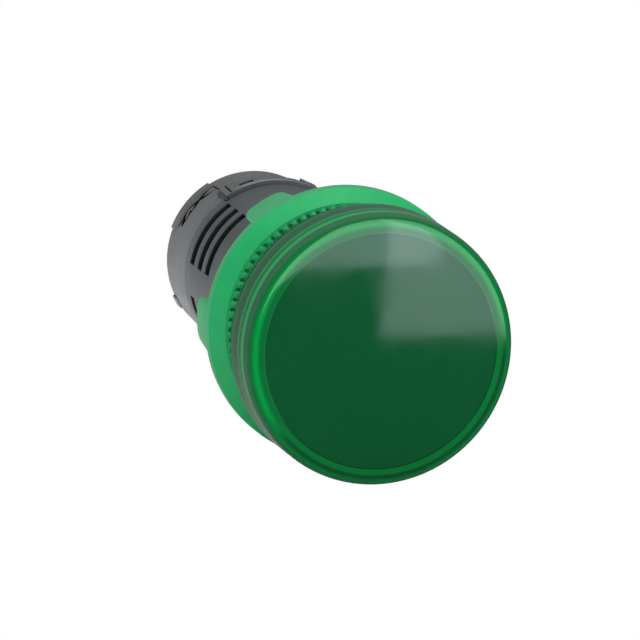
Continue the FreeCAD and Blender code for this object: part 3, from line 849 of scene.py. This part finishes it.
def swingUp(piece, degrees):
    # turns a piece from +X round to the angle, with 90 at the top
    editAll(piece)
    turnBy(degrees, "Y")
    leaveEdit()


def combine(piece, other, operation):
    pick(piece)
    change = piece.modifiers.new("combine", "BOOLEAN")
    change.operation = operation
    change.solver = "EXACT"
    change.object = other
    bpy.ops.object.modifier_apply(modifier=change.name)
    bpy.data.objects.remove(other)


def cutBox(piece, x, y, z, degrees=0):
    # takes out a box between two places on each axis, swung round first
    deselectAll()
    bpy.ops.mesh.primitive_cube_add(size=mm, location=centreLine)
    box = bpy.context.object
    editAll(box)
    bpy.ops.transform.resize(value=(x[1] - x[0], y[1] - y[0], z[1] - z[0]), center_override=centreLine)
    moveBy([(low + high) / 2 * mm for low, high in (x, y, z)])
    leaveEdit()
    if degrees:
        swingUp(box, degrees)
    combine(piece, box, "DIFFERENCE")


def raiseArch(piece, shape):
    # the front edge of the ring is pushed forward, and each row of corners moved out to the arch
    halfStep = 180 / shape["steps"]

    def onFrontEdge(centre, normal):
        return isAt(centre, shape["front"]) and offTop(centre) < shape["archFoot"]

    def onArch(p, row):
        inArch = offTop(p) < shape["archHalf"] + halfStep and radiusOf(p) > shape["hollowRadius"] + near
        return isAt(p, row) and inArch

    selectWhere(piece, "FACE", onFrontEdge)
    extrudeBy((0, (shape["archFront"] - shape["front"]) * mm, 0))
    leaveEdit()
    fall = (coneRadius(shape["archEnd"]) - shape["archRadius"]) / (shape["archEnd"] - shape["archFlat"])
    rows = [shape["archFront"], shape["front"]] + [y for y in shape["stations"] if y < shape["archEnd"]]
    for row in rows:
        radius = shape["archRadius"] + fall * max(0, row - shape["archFlat"])
        selectWhere(piece, "VERT", lambda p: onArch(p, row))
        spreadBy(radius / coneRadius(max(row, shape["front"])))
        leaveEdit()


def shiftPatch(piece, rows, columns, newRadius):
    # a patch of the outer wall moved in or out, each row of corners by its own ratio
    def inside(centre, normal):
        between = rows[0] < centre.y < rows[1] and columns[0] < offTop(centre) < columns[1]
        return between and radiusOf(centre) > coneRadius(centre.y) - near

    selectWhere(piece, "FACE", inside)
    extrudeBy((0, 0, 0))
    leaveEdit()
    picked = [vert.index for vert in piece.data.vertices if vert.select]
    for row in rows:
        members = [index for index in picked if isAt(piece.data.vertices[index].co / mm, row)]
        selectWhere(piece, "VERT", lambda p: False)
        leaveEdit()
        for index in members:
            piece.data.vertices[index].select = True
        radius = radiusOf(piece.data.vertices[members[0]].co) / mm
        bpy.ops.object.mode_set(mode="EDIT")
        spreadBy(newRadius(radius) / radius)
        leaveEdit()


def buildCatch(shape, side):
    # the front outline filled, pushed back and its corners moved out to the rear outline
    def spot(corner, y):
        turn = math.radians(90 + side * corner[1])
        return Vector((corner[0] * math.cos(turn), y, corner[0] * math.sin(turn)))

    front = [spot(corner, shape["frontY"]) for corner in shape["front"]]
    back = [spot(corner, shape["backY"]) for corner in shape["back"]]
    steps = [(second - first) * mm for first, second in zip(front, front[1:] + front[:1])]
    piece = drawPath("snap_catch", front[0] * mm, steps)
    editAll(piece)
    bpy.ops.mesh.remove_doubles(threshold=weld)
    bpy.ops.mesh.edge_face_add()
    extrudeBy((0, (shape["backY"] - shape["frontY"]) * mm, 0))
    leaveEdit()
    for start, target in zip(front, back):
        pushed = Vector((start.x, shape["backY"], start.z))
        selectWhere(piece, "VERT", lambda p: (p - pushed).length < near)
        moveBy((target - pushed) * mm)
        leaveEdit()
    faceOutwards(piece)
    return piece


def cutTerminal(piece, shape, side):
    # one side's well, strip slot and screw hole
    wellX = sorted(side * x for x in shape["wellX"])
    tailX = sorted(side * x for x in shape["tailX"])
    wellZ = (shape["wellBottom"], shape["wellTop"])
    cutBox(piece, wellX, (shape["wellFloor"], shape["back"] + shape["past"]), wellZ)
    cutBox(piece, tailX, (shape["front"], shape["wellFloor"] + shape["past"]), shape["tailZ"])
    deselectAll()
    bpy.ops.mesh.primitive_cylinder_add(vertices=shape["screwHoleSides"], radius=shape["screwHole"] * mm,
                                        depth=shape["screwHoleDepth"] * mm)
    hole = bpy.context.object
    editAll(hole)
    turnBy(90, "X")
    moveBy((side * shape["screwX"] * mm, shape["wellFloor"] * mm, 0))
    leaveEdit()
    combine(piece, hole, "DIFFERENCE")


def engrave(piece, letter, angle, shape):
    # a letter cut into the surface, its top towards the lens
    deselectAll()
    bpy.ops.object.text_add(location=centreLine)
    text = bpy.context.object
    text.data.body = letter
    text.data.size = shape["font"] * mm
    text.data.extrude = shape["deep"] * mm
    text.data.offset = shape["bold"] * mm
    text.data.align_x = "CENTER"
    text.data.align_y = "CENTER"
    bpy.ops.object.convert(target="MESH")
    editAll(text)
    bpy.ops.mesh.remove_doubles(threshold=shape["weld"] * mm)
    bpy.ops.transform.resize(value=(shape["widen"], 1, 1), center_override=centreLine)
    turnBy(180, "Z")
    moveBy((0, shape["y"] * mm, shape["radius"] * mm))
    leaveEdit()
    faceOutwards(text)
    swingUp(text, angle - 90)
    combine(piece, text, "DIFFERENCE")


def blockCone(shape):
    points = [(0, shape["hollowEnd"]), (shape["hollowRadius"], shape["hollowEnd"]),
              (shape["hollowRadius"], shape["front"]), (shape["frontRadius"], shape["front"])]
    points += [(coneRadius(y), y) for y in shape["stations"]]
    points += [(shape["backRadius"], shape["back"]), (0, shape["back"])]
    piece = drawProfile("terminal_block_shell", points)
    spinRound(piece, shape["steps"])
    return piece


def buildTerminalBlock(shape):
    piece = blockCone(shape)
    raiseArch(piece, shape)
    shiftPatch(piece, shape["seamRows"], shape["seamColumns"], lambda radius: radius - shape["seamDepth"])
    for columns in shape["lipColumns"]:
        shiftPatch(piece, shape["lipRows"], columns, lambda radius: shape["lipRadius"])
    faceOutwards(piece)
    roundEdges(piece, shape)
    half, sideHalf = catchShape["slitHalf"], shape["sideSlitHalf"]
    for side in (1, -1):
        combine(piece, buildCatch(catchShape, side), "UNION")
        cutBox(piece, (catchShape["slitFloor"], catchShape["slitFloor"] + shape["past"]),
               (catchShape["slitFront"], catchShape["backY"]), (-half, half),
               90 + side * catchShape["slitAt"])
        cutBox(piece, (shape["sideSlitFloor"], shape["frontRadius"] + shape["past"]),
               shape["sideSlitRows"], (-sideHalf, sideHalf), 90 + side * shape["sideSlitAt"])
        cutTerminal(piece, shape, side)
    for letter, angle in markShape["places"]:
        engrave(piece, letter, angle, markShape)
    smoothPiece(piece, shape["smoothAngle"])
    material = mouldedPlastic("block_grey", blockFinish, (ledgePaintedHighlight, catchSidePaintedShade, archFront, recessPaintedShade))
    finishPiece(piece, "housing", "terminal_block", material)


buildTerminalBlock(blockShape)


# Camera, floor and lights

cameraSet = {
    # axes and lens fitted to the rim, nut and slots of the photo; distance and clip in metres
    "right": (0.96577, -0.2594, 0.0), "up": (0.05139, 0.1913, 0.98018), "back": (-0.25427, -0.94664, 0.19809),
    "lens": 558.0, "sensor": 36.0, "distance": 1.03924, "lensCentre": (0, -6.8, 0), "shift": (6.175, 3.12),
    "clip": (0.05, 20.0),
}


def placeCamera(settings):
    right = Vector(settings["right"])
    up = Vector(settings["up"])
    back = Vector(settings["back"])
    data = bpy.data.cameras.new("camera")
    data.lens = settings["lens"]
    data.sensor_width = settings["sensor"]
    data.clip_start, data.clip_end = settings["clip"]
    camera = bpy.data.objects.new("camera", data)
    bpy.context.scene.collection.objects.link(camera)
    aim = Vector(settings["lensCentre"]) * mm
    left, higher = settings["shift"]
    place = aim + back * settings["distance"] - right * left * mm + up * higher * mm
    turn = Matrix((right, up, back)).transposed().to_4x4()
    camera.matrix_world = Matrix.Translation(place) @ turn
    bpy.context.scene.camera = camera


placeCamera(cameraSet)

floorSet = {
    # height in millimetres and size in metres
    "height": -14.75, "size": 3.0, "colour": (238, 238, 238), "roughness": 0.9,
    "cloudScale": 3.0, "cloudDetail": 2.0, "lighter": 1.02,
}


def buildFloor(settings):
    # the camera sees plain white where the floor lies
    deselectAll()
    bpy.ops.mesh.primitive_plane_add(size=settings["size"], location=(0, 0, settings["height"] * mm))
    floor = bpy.context.object
    floor.name = "floor"
    look = Look("floor_pale", settings["colour"], settings["roughness"])
    cloud = look.noise(settings["cloudScale"], settings["cloudDetail"])
    lighter = tint(shaded(settings["colour"], settings["lighter"]))
    look.set("Base Color", look.mix(cloud, tint(settings["colour"]), lighter))
    white = look.node("ShaderNodeEmission", None, {"Color": (1, 1, 1, 1), "Strength": 1.0})
    plain = Link(look, look.shader.outputs[0])
    look.showOn("Material Output", look.blend(look.seenBy("Is Camera Ray"), plain, white))
    floor.data.materials.append(look.material)
    floor.visible_glossy = False


buildFloor(floorSet)

# places and sizes in metres; right_card and left_card only show in reflections, and the rest only light
lampSet = {
    "top_lamp": {"place": (0.1, -0.05, 0.9), "aim": (0, 0.01, 0), "size": (0.9, 0.9), "power": 7.0},
    "back_lamp": {"place": (0.1, 0.9, 0.75), "aim": (0, 0.03, 0), "size": (0.9, 0.5), "power": 2.6},
    "left_lamp": {"place": (-0.7, 0.3, 0.12), "aim": (0, 0.03, 0), "size": (0.5, 0.4), "power": 0.6},
    "low_card": {"place": (-0.036, 0.045, -0.0138), "aim": (-0.036, 0.045, 1), "size": (0.05, 0.045),
                 "power": 0.032},
    "front_fill": {"place": (0.1, -0.9, 0.3), "aim": (0, 0, 0), "size": (0.6, 0.6), "power": 0.35},
    "left_fill": {"place": (-0.6, -0.45, 0.35), "aim": (0, 0, 0), "size": (0.5, 0.5), "power": 0.15},
    "right_card": {"place": (0.49, -0.72, 0.391), "aim": (0.49, 0, 0.391), "size": (0.5, 1.1),
                   "power": 4.65, "roll": -5, "isCard": True, "colour": (0.82, 0.92, 1.0)},
    "left_card": {"place": (0.09, -0.74, 0.3905), "aim": (0.09, 0, 0.3905), "size": (0.39, 0.9),
                  "power": 3.2, "roll": -2, "isCard": True, "colour": (0.8, 0.93, 1.0)},
}


def addLamp(name, place, aim, size, power, roll=0, isCard=False, colour=(1, 1, 1)):
    data = bpy.data.lights.new(name, "AREA")
    data.shape = "RECTANGLE"
    data.size, data.size_y = size
    data.energy = power
    data.color = colour
    lamp = bpy.data.objects.new(name, data)
    bpy.context.scene.collection.objects.link(lamp)
    direction = Vector(aim) - Vector(place)
    turn = direction.to_track_quat("-Z", "Y").to_matrix().to_4x4()
    lamp.matrix_world = Matrix.Translation(Vector(place)) @ turn @ Matrix.Rotation(math.radians(roll), 4, "Z")
    lamp.visible_camera = False
    lamp.visible_glossy = isCard
    lamp.visible_diffuse = not isCard


for name, settings in lampSet.items():
    addLamp(name, **settings)

# strengths of the room, and along which directions its parts fade in
worldSet = {
    "light": 0.33, "front": 0.06, "behind": 0.14, "below": 0.23, "white": 1.0,
    "behindY": (-0.2, 0.4), "behindX": (0.8, 0.35), "belowZ": (0.0, -0.3),
}


def lightWorld(settings):
    # soft light all round, plain white behind the part, and a dim room for reflections
    world = bpy.data.worlds.new("soft_white")
    world.use_nodes = True
    bpy.context.scene.world = world
    nodes = Nodes(world.node_tree)
    direction = nodes.node("ShaderNodeTexCoord", output="Generated")

    def fade(axis, edges):
        return nodes.linear(nodes.node("ShaderNodeSeparateXYZ", None, {0: direction}, axis), *edges)

    def backdrop(part):
        return nodes.node("ShaderNodeBackground", None, {"Color": (1, 1, 1, 1), "Strength": settings[part]})

    behind = fade("Y", settings["behindY"]) * fade("X", settings["behindX"])
    rear = nodes.blend(fade("Z", settings["belowZ"]), backdrop("behind"), backdrop("below"))
    mirrored = nodes.blend(behind, backdrop("front"), rear)
    shown = nodes.blend(nodes.seenBy("Is Glossy Ray"), backdrop("light"), mirrored)
    for ray in ("Is Transmission Ray", "Is Camera Ray"):
        shown = nodes.blend(nodes.seenBy(ray), shown, backdrop("white"))
    nodes.showOn("World Output", shown)


lightWorld(worldSet)
bpy.context.scene.view_settings.view_transform = "Standard"
print("camera and lights placed")
